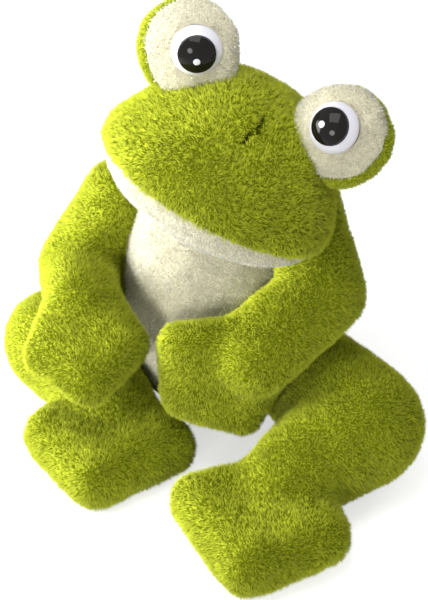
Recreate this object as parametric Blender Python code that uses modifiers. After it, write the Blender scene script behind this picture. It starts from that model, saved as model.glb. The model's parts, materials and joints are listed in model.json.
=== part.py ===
"""A plush frog that sits on the floor with its knees bent and its hands in its lap.

The frog faces -Y and sits at the origin, +Z up. Each stuffed form is the skin over a
few balls, blended and thinned, and each limb turns in a round seat in the larger form.
"""

import math

import bmesh
import bpy
from mathutils import Matrix, Vector

# Units
MM = 0.001

# Clearances and the fabric
GAP = 0.3 * MM
SKIN = 4 * MM
FLAT_DEPTH = 0.5 * MM
MERGE = 0.01 * MM
CLEARANCE = 0.4 * MM
CUT_RUN = 900 * MM
BALL_PROUD = 1.5 * MM
SEAT_SHARE = 0.35
SWEEP_STEP = 6
SHARP_ANGLE = 40
DOME_STEPS = 4

# Fineness of the blended forms
VOXEL = 5 * MM
BLEND_STEPS = 8
BALL_SEGMENTS = 20
BALL_RINGS = 12
JOINT_SEGMENTS = 14
JOINT_RINGS = 7
TURNED_STEPS = 20

# Body
SEAT_WIDTH = 176 * MM
SEAT_DEPTH = 156 * MM
SEAT_HEIGHT = 96 * MM
BELLY_WIDTH = 174 * MM
BELLY_DEPTH = 158 * MM
BELLY_HEIGHT = 120 * MM
BELLY_LIFT = 98 * MM
CHEST_WIDTH = 144 * MM
CHEST_DEPTH = 118 * MM
CHEST_HEIGHT = 96 * MM
CHEST_LIFT = 158 * MM
BODY_LEAN = 6
NECK_RADIUS = 48 * MM
NECK_LIFT = 198 * MM
NECK_FORWARD = 4 * MM

# Belly panel, as shares of its half width at shares of the neck's lift
PANEL_HALF_WIDTH = 68 * MM
PANEL_BACK = 12 * MM
PANEL_SHARES = (
    (-0.10, 0.50),
    (0.15, 0.78),
    (0.40, 0.97),
    (0.62, 1.00),
    (0.80, 0.93),
    (0.95, 0.74),
    (1.30, 0.62),
)

# Head, in its own frame: +X to the frog's left, -Y out of its face, +Z up
HEAD_CENTRE = Vector((12 * MM, -53 * MM, 267 * MM))
HEAD_ROLL = 23
HEAD_PITCH = 20
HEAD_YAW = 1
MUZZLE_WIDTH = 192 * MM
MUZZLE_LENGTH = 170 * MM
MUZZLE_HEIGHT = 104 * MM
MUZZLE_DROP = 20 * MM
SKULL_WIDTH = 148 * MM
SKULL_LENGTH = 126 * MM
SKULL_HEIGHT = 100 * MM
SKULL_LIFT = 15 * MM
SKULL_BACK = 8 * MM
JAW_DROP = 34 * MM
CHIN_WIDTH = 176 * MM
CHIN_LENGTH = 120 * MM
CHIN_HEIGHT = 74 * MM
CHIN_DROP = 31 * MM
CHIN_FORWARD = 13 * MM
LIP_GAP = 1.2 * MM

# Eyes
MOUND_SPREAD = 63.5 * MM
MOUND_FORWARD = 8 * MM
MOUND_LIFT = 56 * MM
MOUND_RADIUS = 40.5 * MM
MOUND_DEPTH = 52 * MM
MOUND_FOOT_INWARD = 26 * MM
MOUND_FOOT_DROP = 6 * MM
MOUND_FOOT_RADIUS = 18 * MM
RIM_FORWARD = 6 * MM
RIM_TURN = 14
RIM_TIP = 12
EYE_RADIUS = 18.5 * MM
EYE_RISE = 11 * MM
EYE_BASE = 3 * MM
EYE_SINK = 5 * MM
EYE_TURN = 19
PUPIL_RADIUS = 13.6 * MM
PUPIL_RISE = 5 * MM
PUPIL_BASE = 3 * MM
PUPIL_SEAT = 6 * MM
SHANK_RADIUS = 3 * MM
SHANK_LENGTH = 11 * MM
WASHER_RADIUS = 8 * MM
WASHER_THICKNESS = 2 * MM
WASHER_LIFT = 5 * MM

# Arms
SHOULDER_SPREAD = 75 * MM
SHOULDER_LIFT = 185 * MM
SHOULDER_BACK = 4 * MM
SHOULDER_RADIUS = 36 * MM
UPPER_ARM_LENGTH = 72 * MM
ELBOW_RADIUS = 35 * MM
ELBOW_BALL_RADIUS = 32 * MM
FOREARM_LENGTH = 62 * MM
WRIST_RADIUS = 32 * MM
HAND_REACH = 74 * MM
HAND_SPREAD = 37 * MM
HAND_THICKNESS = 42 * MM
FINGER_RADIUS = 21 * MM
SIDE_FINGER_SHARE = 0.6

# Legs
HIP_SPREAD = 50 * MM
HIP_LIFT = 46 * MM
HIP_FORWARD = 2 * MM
KNEE_LIFT = 53 * MM
HIP_RADIUS = 46 * MM
THIGH_LENGTH = 104 * MM
KNEE_RADIUS = 53 * MM
KNEE_BALL_RADIUS = 49 * MM
SHIN_LENGTH = 80 * MM
ANKLE_RADIUS = 37 * MM
FOOT_REACH = 87 * MM
FOOT_SPREAD = 57 * MM
FOOT_THICKNESS = 54 * MM
TOE_RADIUS = 22 * MM
SIDE_TOE_SHARE = 0.42

# How each side is posed: directions of the arm, headings of the leg in degrees outwards,
# and shares of the lengths and spreads above, because no two stuffed limbs are alike
POSES = {
    "right": {
        "side": -1,
        "eye_inward": 8 * MM,
        "eye_lift": 8 * MM,
        "eye_tip": 94,
        "upper_arm": (-0.45, -0.32, -0.83),
        "upper_arm_share": 0.99,
        "forearm": (0.35, -0.92, 0.17),
        "forearm_share": 1.07,
        "wrist_share": 1.0,
        "hand": (0.34, -0.87, -0.36),
        "hand_share": 0.98,
        "palm_across": (0.77, 0.63, 0.14),
        "finger_share": 0.82,
        "thigh": 72,
        "thigh_share": 0.96,
        "knee_share": 0.89,
        "shin": -50,
        "shin_share": 1.08,
        "foot": -6,
        "foot_share": 0.94,
        "toe_shares": (0.95, 0.84),
    },
    "left": {
        "side": 1,
        "eye_inward": 6 * MM,
        "eye_lift": 8 * MM,
        "eye_tip": 82,
        "upper_arm": (0.42, -0.68, -0.61),
        "upper_arm_share": 1.02,
        "forearm": (-0.63, -0.60, -0.49),
        "forearm_share": 1.18,
        "wrist_share": 1.14,
        "hand": (-0.77, -0.28, -0.58),
        "hand_share": 0.91,
        "palm_across": (-0.56, -0.08, 0.82),
        "finger_share": 1.1,
        "thigh": 44,
        "thigh_share": 1.06,
        "knee_share": 1.0,
        "shin": -38,
        "shin_share": 0.99,
        "foot": -7,
        "foot_share": 1.0,
        "toe_shares": (1.06, 0.80),
    },
}

# Ranges of the joints in degrees
NECK_RANGE = (0, 42)
SHOULDER_RANGE = (0, 18)
ELBOW_RANGE = (0, 18)
HIP_RANGE = (0, 20)
KNEE_RANGE = (0, 40)

# Faces that each thinned form keeps
BODY_FACES = 300
HEAD_FACES = 330
MOUND_FACES = 130
UPPER_ARM_FACES = 120
FOREARM_FACES = 220
THIGH_FACES = 150
SHIN_FACES = 280

# Colours
GREEN = (0.36, 0.47, 0.03, 1)
CREAM = (0.80, 0.76, 0.58, 1)
WHITE = (0.86, 0.86, 0.88, 1)
BLACK = (0.012, 0.010, 0.010, 1)
CLEAR_GREY = (0.70, 0.70, 0.68, 1)
FLUFF = (0.88, 0.88, 0.86, 1)
PLUSH_ROUGHNESS = 0.95
PLASTIC_ROUGHNESS = 0.15


def start():
    """Clears the scene and gives the two collections."""
    for old in list(bpy.data.objects):
        bpy.data.objects.remove(old, do_unlink=True)
    made = []
    for name in ("plush_frog", "cutters"):
        collection = bpy.data.collections.new(name)
        bpy.context.scene.collection.children.link(collection)
        made.append(collection)
    return made


PARTS, CUTTERS = start()


def material(name, colour, roughness):
    made = bpy.data.materials.new(name)
    made.use_nodes = True
    shader = made.node_tree.nodes["Principled BSDF"]
    shader.inputs["Base Color"].default_value = colour
    shader.inputs["Roughness"].default_value = roughness
    shader.inputs["Metallic"].default_value = 0
    made.diffuse_color = colour
    return made


def object_of(name, mesh, collection):
    made = bpy.data.objects.new(name, mesh)
    collection.objects.link(made)
    return made


def mesh_of(name, bm):
    bmesh.ops.recalc_face_normals(bm, faces=bm.faces)
    mesh = bpy.data.meshes.new(name)
    bm.to_mesh(mesh)
    bm.free()
    return mesh


def shape_of(made):
    """The mesh that an object has with its modifiers, in world space."""
    graph = bpy.context.evaluated_depsgraph_get()
    mesh = bpy.data.meshes.new_from_object(made.evaluated_get(graph))
    mesh.transform(made.matrix_world)
    return mesh


def evaluated(made):
    """The mesh that an object has with its modifiers, and the object is removed."""
    mesh = shape_of(made)
    bpy.data.objects.remove(made, do_unlink=True)
    return mesh


def cutter(name, mesh):
    made = object_of(name, mesh, CUTTERS)
    made.hide_render = True
    made.display_type = "WIRE"
    return made


def boolean(made, other, operation="DIFFERENCE"):
    """Cuts, joins or keeps with another object, which stays in the cutters."""
    modifier = made.modifiers.new(operation.lower() + "_" + other.name, "BOOLEAN")
    modifier.object = other
    modifier.operation = operation
    modifier.solver = "EXACT"


def ball_points(segments, rings, centre, radii, turn=None):
    """The points of a ball or of an ellipsoid."""
    ball = bmesh.new()
    place = Matrix.Translation(centre) @ (turn.to_4x4() if turn else Matrix())
    bmesh.ops.create_uvsphere(
        ball, u_segments=segments, v_segments=rings, radius=1,
        matrix=place @ Matrix.Diagonal((*radii, 1)),
    )
    points = [v.co.copy() for v in ball.verts]
    ball.free()
    return points


def add_hull(bm, points):
    """Adds the tight skin over some points."""
    hull = bmesh.new()
    for point in points:
        hull.verts.new(point)
    made = bmesh.ops.convex_hull(hull, input=list(hull.verts))
    spare = set(made["geom_interior"] + made["geom_unused"])
    spare = [v for v in spare if isinstance(v, bmesh.types.BMVert)]
    bmesh.ops.delete(hull, geom=spare, context="VERTS")
    bmesh.ops.recalc_face_normals(hull, faces=hull.faces)
    mesh = bpy.data.meshes.new("hull")
    hull.to_mesh(mesh)
    hull.free()
    bm.from_mesh(mesh)
    bpy.data.meshes.remove(mesh)


def form(name, hulls, faces, floor=None):
    """One stuffed form: hulls blended into a single skin, then thinned to some faces.

    A hull is a list of balls, each (centre, radii) or (centre, radii, turn)."""
    bm = bmesh.new()
    for balls in hulls:
        points = [p for ball in balls for p in ball_points(BALL_SEGMENTS, BALL_RINGS, *ball)]
        add_hull(bm, points)
    mesh = bpy.data.meshes.new(name)
    bm.to_mesh(mesh)
    bm.free()
    made = object_of(name, mesh, CUTTERS)
    remesh = made.modifiers.new("one_skin", "REMESH")
    remesh.mode = "VOXEL"
    remesh.voxel_size = VOXEL
    smooth = made.modifiers.new("blend", "SMOOTH")
    smooth.iterations = BLEND_STEPS
    mesh = evaluated(made)
    made = object_of(name, mesh, CUTTERS)
    thin = made.modifiers.new("thin", "DECIMATE")
    thin.ratio = min(1, faces / (2 * len(mesh.polygons)))
    thin.use_collapse_triangulate = True
    mesh = evaluated(made)
    mesh.name = name
    if floor is not None:
        lowest = min(v.co.z for v in mesh.vertices)
        mesh.transform(Matrix.Translation((0, 0, floor - FLAT_DEPTH - lowest)))
    return mesh


def joint_ball(name, centre, radius):
    """A faceted ball whose corners lie on its radius."""
    bm = bmesh.new()
    bmesh.ops.create_uvsphere(
        bm, u_segments=JOINT_SEGMENTS, v_segments=JOINT_RINGS, radius=radius,
        matrix=Matrix.Translation(centre),
    )
    return cutter(name, mesh_of(name, bm))


def seat_radius(radius):
    """A faceted seat of this radius has its flats a gap clear of the ball's corners."""
    flat = math.cos(math.pi / JOINT_SEGMENTS) * math.cos(math.pi / (2 * JOINT_RINGS))
    return (radius + GAP) / flat


def turned(name, profile, place):
    """A solid turned about its own +Z from (radius, height) points, top to bottom."""
    mesh = bpy.data.meshes.new(name)
    mesh.from_pydata(
        [(radius, 0, height) for radius, height in profile],
        [(i, i + 1) for i in range(len(profile) - 1)],
        [],
    )
    made = object_of(name, mesh, CUTTERS)
    screw = made.modifiers.new("turn", "SCREW")
    screw.steps = TURNED_STEPS
    screw.render_steps = TURNED_STEPS
    screw.use_merge_vertices = True
    screw.merge_threshold = MERGE
    mesh = evaluated(made)
    bm = bmesh.new()
    bm.from_mesh(mesh)
    bmesh.ops.remove_doubles(bm, verts=bm.verts, dist=MERGE)
    bmesh.ops.recalc_face_normals(bm, faces=bm.faces)
    bm.to_mesh(mesh)
    bm.free()
    mesh.transform(place)
    return mesh


def moved(mesh, by):
    """A copy of a mesh with each corner moved out along its normal, or in by a negative length."""
    made = mesh.copy()
    normals = [v.normal.copy() for v in mesh.vertices]
    for vertex, normal in zip(made.vertices, normals):
        vertex.co += normal * by
    return made


def turn_about(pivot, axis, degrees):
    """The matrix that turns about an axis through a point."""
    turn = Matrix.Rotation(math.radians(degrees), 4, axis)
    return Matrix.Translation(pivot) @ turn @ Matrix.Translation(-pivot)


def sweep_angles(joint):
    """Angles over a joint's range, no further apart than a step."""
    low, high = joint["range"]
    count = max(1, math.ceil((high - low) / SWEEP_STEP))
    return [low + (high - low) * i / count for i in range(count + 1)]


def turns_of(joint, way):
    """The turns that a joint makes over its range, or that its own piece sees, at way -1."""
    if joint is None:
        return [Matrix()]
    return [turn_about(joint["at"], joint["axis"], way * angle) for angle in sweep_angles(joint)]


def clear(made, other, joint=None):
    """Cuts a form clear of another, round one, over the range of the joint that carries it."""
    grown = moved(other, CLEARANCE)
    bm = bmesh.new()
    add_hull(bm, [turn @ v.co for turn in turns_of(joint, -1) for v in grown.vertices])
    boolean(made, cutter(f"clear_{made.name}_{other.name}", mesh_of(other.name, bm)))


def clear_swept(name, made, balls, joint, others_joint):
    """Cuts a form clear of the skin over some balls, while either joint moves."""
    points = []
    for centre, radii, *turn in balls:
        grown = [seat_radius(radius) for radius in radii]
        points += ball_points(JOINT_SEGMENTS, JOINT_RINGS, centre, grown, *turn)
    swept = [
        own @ others @ point
        for own in turns_of(joint, -1)
        for others in turns_of(others_joint, 1)
        for point in points
    ]
    bm = bmesh.new()
    add_hull(bm, swept)
    boolean(made, cutter(f"clear_{made.name}_{name}", mesh_of(name, bm)))


def half_space(name, point, normal):
    """A block whose top lies on a plane and which fills the side that the normal leaves."""
    bm = bmesh.new()
    down = Matrix.Translation((0, 0, -CUT_RUN / 2))
    bmesh.ops.create_cube(bm, size=CUT_RUN, matrix=down)
    mesh = mesh_of(name, bm)
    turn = Vector((0, 0, 1)).rotation_difference(normal).to_matrix().to_4x4()
    mesh.transform(Matrix.Translation(point) @ turn)
    return mesh


def finish(made, name, colour_material, joint=None):
    """Puts an object in the parts, with its origin on the joint that carries it."""
    CUTTERS.objects.unlink(made)
    PARTS.objects.link(made)
    made.name = name
    made.data.name = name
    made.data.materials.clear()
    made.data.materials.append(colour_material)
    made.data.shade_smooth()
    made.data.set_sharp_from_angle(angle=math.radians(SHARP_ANGLE))
    if joint:
        pivot = EMPTIES[joint["name"]]
        made.data.transform(pivot.matrix_world.inverted())
        made.parent = pivot
    return made


BODY = Matrix.Rotation(-math.radians(BODY_LEAN), 3, "Y")


def body_middle(lift):
    """The middle of the leaning body at a height along it."""
    return BODY @ Vector((0, -NECK_FORWARD * lift / NECK_LIFT, lift))


def body_form():
    seat = (body_middle(SEAT_HEIGHT / 2), (SEAT_WIDTH / 2, SEAT_DEPTH / 2, SEAT_HEIGHT / 2))
    belly = (body_middle(BELLY_LIFT), (BELLY_WIDTH / 2, BELLY_DEPTH / 2, BELLY_HEIGHT / 2))
    chest = (body_middle(CHEST_LIFT), (CHEST_WIDTH / 2, CHEST_DEPTH / 2, CHEST_HEIGHT / 2))
    return form("body", [[seat, belly], [belly, chest]], BODY_FACES, floor=0)


def panel_cutter(name, inset):
    """The belly panel's outline, run out of the front of the body."""
    right = [
        Vector((-PANEL_HALF_WIDTH * width + inset, 0, NECK_LIFT * height))
        for height, width in PANEL_SHARES
    ]
    left = [Vector((-p.x, 0, p.z)) for p in reversed(right)]
    bm = bmesh.new()
    ring = [
        bm.verts.new(p + Vector((body_middle(p.z).x, -PANEL_BACK - inset, 0)))
        for p in right + left
    ]
    face = bm.faces.new(ring)
    run = bmesh.ops.extrude_face_region(bm, geom=[face])
    points = [g for g in run["geom"] if isinstance(g, bmesh.types.BMVert)]
    bmesh.ops.translate(bm, verts=points, vec=(0, -CUT_RUN, 0))
    return cutter(name, mesh_of(name, bm))


def head_matrix():
    turn = Matrix.Rotation(math.radians(HEAD_YAW), 4, "Z")
    pitch = Matrix.Rotation(-math.radians(HEAD_PITCH), 4, "X")
    roll = Matrix.Rotation(math.radians(HEAD_ROLL), 4, "Y")
    return Matrix.Translation(HEAD_CENTRE) @ turn @ pitch @ roll


HEAD = head_matrix()


def head_form():
    muzzle = (
        Vector((0, 0, -MUZZLE_DROP)),
        (MUZZLE_WIDTH / 2, MUZZLE_LENGTH / 2, MUZZLE_HEIGHT / 2),
    )
    skull = (
        Vector((0, SKULL_BACK, SKULL_LIFT)),
        (SKULL_WIDTH / 2, SKULL_LENGTH / 2, SKULL_HEIGHT / 2),
    )
    chin = (
        Vector((0, -CHIN_FORWARD, -CHIN_DROP)),
        (CHIN_WIDTH / 2, CHIN_LENGTH / 2, CHIN_HEIGHT / 2),
    )
    mesh = form("head", [[muzzle, skull, chin]], HEAD_FACES)
    mesh.transform(HEAD)
    return mesh


def joint_table():
    """Every joint: its name, its place, its axis and its range in degrees."""
    forward = HEAD.to_3x3() @ Vector((0, -1, 0))
    neck = body_middle(NECK_LIFT)
    table = {"neck": {"name": "neck", "at": neck, "axis": forward, "range": NECK_RANGE}}
    for side, pose in POSES.items():
        out = pose["side"]
        shoulder = BODY @ Vector((out * SHOULDER_SPREAD, SHOULDER_BACK, SHOULDER_LIFT))
        down = Vector(pose["upper_arm"]).normalized()
        elbow = shoulder + down * UPPER_ARM_LENGTH * pose["upper_arm_share"]
        hip = Vector((out * HIP_SPREAD, -HIP_FORWARD, HIP_LIFT))
        knee = hip + heading(out, pose["thigh"]) * THIGH_LENGTH * pose["thigh_share"]
        knee.z = KNEE_LIFT * pose["knee_share"]
        lift, swing = Vector((-1, 0, 0)), Vector((0, 0, out))
        for name, at, axis, span in (
            ("shoulder", shoulder, lift, SHOULDER_RANGE),
            ("elbow", elbow, lift, ELBOW_RANGE),
            ("hip", hip, swing, HIP_RANGE),
            ("knee", knee, swing, KNEE_RANGE),
        ):
            full = f"{name}_{side}"
            table[full] = {"name": full, "at": at, "axis": axis, "range": span}
    return table


def heading(out, degrees):
    """A level direction, so many degrees outwards from straight ahead."""
    angle = math.radians(degrees)
    return Vector((out * math.sin(angle), -math.cos(angle), 0))


JOINTS = joint_table()


def make_empties():
    """One empty on each joint, each carried by the one before it on its limb."""
    made = {}
    for name, joint in JOINTS.items():
        empty = bpy.data.objects.new(f"{name}_pivot", None)
        PARTS.objects.link(empty)
        empty.location = joint["at"]
        made[name] = empty
    for side in POSES:
        for child, parent in (("elbow", "shoulder"), ("knee", "hip")):
            inner, outer = made[f"{parent}_{side}"], made[f"{child}_{side}"]
            outer.parent = inner
            outer.location -= inner.location
    bpy.context.view_layer.update()
    return made


EMPTIES = make_empties()


def round_ball(place, radius):
    return (place, (radius, radius, radius))


def facing(across, along):
    """The turn that lays X across and Y along."""
    return Matrix((across, along, across.cross(along))).transposed()


def mitre(near, far, joint, parent_way, child_way):
    """Cuts two limb forms at the plane between them, the far one clear over its range."""
    normal = (child_way - parent_way).normalized()
    block = half_space("mitre_near", joint["at"] - normal * GAP / 2, -normal)
    boolean(near, cutter(f"mitre_{near.name}", block))
    for i, angle in enumerate(sweep_angles(joint)):
        block = half_space("mitre_far", joint["at"] + normal * GAP / 2, normal)
        block.transform(turn_about(joint["at"], joint["axis"], -angle))
        boolean(far, cutter(f"mitre_{far.name}_{i}", block))


def arm(side, body, head, legs):
    """One arm: the upper arm, and the forearm with its three-fingered mitt."""
    pose = POSES[side]
    shoulder, elbow = JOINTS[f"shoulder_{side}"], JOINTS[f"elbow_{side}"]
    down = Vector(pose["upper_arm"]).normalized()
    along = Vector(pose["forearm"]).normalized()
    end = elbow["at"] - down * ELBOW_RADIUS * SEAT_SHARE
    mesh = form(
        f"upper_arm_{side}",
        [[round_ball(shoulder["at"], SHOULDER_RADIUS - BALL_PROUD), round_ball(end, ELBOW_RADIUS)]],
        UPPER_ARM_FACES,
    )
    upper = object_of(f"upper_arm_{side}", mesh, CUTTERS)
    wrist = elbow["at"] + along * FOREARM_LENGTH * pose["forearm_share"]
    way = Vector(pose["hand"]).normalized()
    across = Vector(pose["palm_across"])
    across = (across - way * across.dot(way)).normalized()
    flat = facing(across, way)
    reach = way * HAND_REACH * pose["hand_share"]
    spread = across * HAND_SPREAD * pose["finger_share"]
    broad = WRIST_RADIUS * pose["wrist_share"]
    radii = (FINGER_RADIUS, FINGER_RADIUS, HAND_THICKNESS / 2)
    fingers = [(wrist + reach, radii, flat)]
    for sideways in (-spread, spread):
        fingers.append((wrist + reach * SIDE_FINGER_SHARE + sideways, radii, flat))
    mesh = form(
        f"forearm_{side}",
        [
            [round_ball(elbow["at"], ELBOW_RADIUS - BALL_PROUD), round_ball(wrist, broad)],
            [(wrist, (broad, broad, HAND_THICKNESS / 2), flat), *fingers],
        ],
        FOREARM_FACES,
    )
    fore = object_of(f"forearm_{side}", mesh, CUTTERS)
    clear(upper, body, shoulder)
    mitre(upper, fore, elbow, -down, along)
    clear(fore, body, elbow)
    boolean(upper, joint_ball(f"shoulder_ball_{side}", shoulder["at"], SHOULDER_RADIUS), "UNION")
    boolean(upper, joint_ball(f"elbow_seat_{side}", elbow["at"], seat_radius(ELBOW_BALL_RADIUS)))
    boolean(fore, joint_ball(f"elbow_ball_{side}", elbow["at"], ELBOW_BALL_RADIUS), "UNION")
    clear(upper, head, shoulder)
    for name, balls, mover in legs:
        for own in (shoulder, elbow):
            clear_swept(f"{name}_{own['name']}", fore, balls, own, mover)
    finish(upper, f"upper_arm_{side}", PLUSH, shoulder)
    finish(fore, f"forearm_{side}", PLUSH, elbow)


def leg(side, body, floor):
    """One leg: the thigh, and the shin with its webbed three-toed foot.

    Gives the balls under each stretch of skin, which the arms are cut clear of."""
    pose = POSES[side]
    out = pose["side"]
    hip, knee = JOINTS[f"hip_{side}"], JOINTS[f"knee_{side}"]
    thigh_way, shin_way = heading(out, pose["thigh"]), heading(out, pose["shin"])
    foot_way = heading(out, pose["foot"])
    radius, ball = KNEE_RADIUS * pose["knee_share"], KNEE_BALL_RADIUS * pose["knee_share"]
    end = knee["at"] - thigh_way * radius * SEAT_SHARE
    thigh_balls = [round_ball(hip["at"], HIP_RADIUS - BALL_PROUD), round_ball(end, radius)]
    mesh = form(f"thigh_{side}", [thigh_balls], THIGH_FACES, floor=0)
    thigh = object_of(f"thigh_{side}", mesh, CUTTERS)
    ankle = knee["at"] + shin_way * SHIN_LENGTH * pose["shin_share"]
    ankle.z = ANKLE_RADIUS
    across = Vector((-foot_way.y, foot_way.x, 0))
    flat = facing(across, foot_way)
    radii = (TOE_RADIUS, TOE_RADIUS, FOOT_THICKNESS / 2)
    heel = ankle.copy()
    heel.z = FOOT_THICKNESS / 2
    reach = foot_way * FOOT_REACH * pose["foot_share"]
    toes = [(heel + reach, radii, flat)]
    for way, share in zip((-out, out), pose["toe_shares"]):
        sideways = across * way * FOOT_SPREAD * share
        toes.append((heel + reach * SIDE_TOE_SHARE + sideways, radii, flat))
    shin_balls = [round_ball(knee["at"], radius), round_ball(ankle, ANKLE_RADIUS)]
    foot_balls = [(heel, (ANKLE_RADIUS, ANKLE_RADIUS, FOOT_THICKNESS / 2), flat), *toes]
    mesh = form(f"shin_{side}", [shin_balls, foot_balls], SHIN_FACES, floor=0)
    shin = object_of(f"shin_{side}", mesh, CUTTERS)
    clear(thigh, body, hip)
    mitre(thigh, shin, knee, -thigh_way, shin_way)
    clear(shin, body, knee)
    boolean(thigh, joint_ball(f"hip_ball_{side}", hip["at"], HIP_RADIUS), "UNION")
    boolean(thigh, joint_ball(f"knee_seat_{side}", knee["at"], seat_radius(ball)))
    boolean(shin, joint_ball(f"knee_ball_{side}", knee["at"], ball), "UNION")
    for made in (thigh, shin):
        boolean(made, floor)
    finish(thigh, f"thigh_{side}", PLUSH, hip)
    finish(shin, f"shin_{side}", PLUSH, knee)
    return [
        (f"thigh_{side}", thigh_balls, hip),
        (f"shin_{side}", shin_balls, hip),
        (f"foot_{side}", foot_balls, knee),
    ]


def torso(body, floor):
    """The back skin, the belly panel, and the stuffing that rises through the neck."""
    inner = moved(body, -SKIN)
    filling = moved(body, -SKIN - CLEARANCE)
    back = object_of("torso_back", body.copy(), CUTTERS)
    panel = object_of("belly_panel", body.copy(), CUTTERS)
    hollow = cutter("body_hollow", inner)
    stuffing = object_of("torso_stuffing", filling, CUTTERS)
    neck = JOINTS["neck"]["at"]
    neck_skin = joint_ball("neck_skin", neck, NECK_RADIUS)
    neck_hollow = joint_ball("neck_hollow", neck, NECK_RADIUS - SKIN)
    neck_filling = joint_ball("neck_filling", neck, NECK_RADIUS - SKIN - CLEARANCE)
    for made in (back, panel):
        boolean(made, neck_skin, "UNION")
        boolean(made, hollow)
        boolean(made, neck_hollow)
    boolean(back, panel_cutter("belly_opening", 0))
    boolean(panel, panel_cutter("belly_outline", GAP), "INTERSECT")
    boolean(stuffing, neck_filling, "UNION")
    for side in POSES:
        for name, radius in (("shoulder", SHOULDER_RADIUS), ("hip", HIP_RADIUS)):
            joint = JOINTS[f"{name}_{side}"]
            seat = joint_ball(f"{name}_seat_{side}", joint["at"], seat_radius(radius))
            for made in (back, panel, stuffing):
                boolean(made, seat)
    boolean(back, floor)
    boolean(panel, floor)
    finish(back, "torso_back", PLUSH)
    finish(panel, "belly_panel", CREAM_PLUSH)
    finish(stuffing, "torso_stuffing", STUFFING)


def head_parts(head, body):
    """The green upper head, the cream jaw and the stuffing, cut over the neck.

    Gives the pieces that an eye may sink into."""
    neck = JOINTS["neck"]
    upper = object_of("head_upper", head.copy(), CUTTERS)
    jaw = object_of("jaw", head.copy(), CUTTERS)
    hollow = cutter("head_hollow", moved(head, -SKIN))
    stuffing = object_of("head_stuffing", moved(head, -SKIN - CLEARANCE), CUTTERS)
    up = HEAD.to_3x3() @ Vector((0, 0, 1))
    mouth = HEAD @ Vector((0, 0, -JAW_DROP))
    below = cutter("below_mouth", half_space("below_mouth", mouth + up * LIP_GAP / 2, up))
    above = cutter("above_mouth", half_space("above_mouth", mouth - up * LIP_GAP / 2, -up))
    boolean(upper, hollow)
    boolean(upper, below)
    boolean(jaw, hollow)
    boolean(jaw, above)
    cup = joint_ball("neck_cup", neck["at"], seat_radius(NECK_RADIUS))
    for made in (upper, jaw, stuffing):
        boolean(made, cup)
        clear(made, body, neck)
    finish(upper, "head_upper", PLUSH, neck)
    finish(jaw, "jaw", CREAM_PLUSH, neck)
    finish(stuffing, "head_stuffing", STUFFING, neck)
    return upper, stuffing


def dome_profile(radius, rise, base, inner=0):
    """A shallow dome on a short cylinder, from an inner radius out and down to its foot."""
    sphere = (radius * radius + rise * rise) / (2 * rise)
    first, last = math.asin(inner / sphere), math.asin(radius / sphere)
    points = []
    for i in range(DOME_STEPS + 1):
        angle = first + (last - first) * i / DOME_STEPS
        points.append((sphere * math.sin(angle), base + rise - sphere * (1 - math.cos(angle))))
    points.append((radius, 0))
    return points


def turned_seat(radius):
    """A turned bore of this radius has its flats a gap clear of a turned pin's corners."""
    return (radius + GAP) / math.cos(math.pi / TURNED_STEPS)


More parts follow.
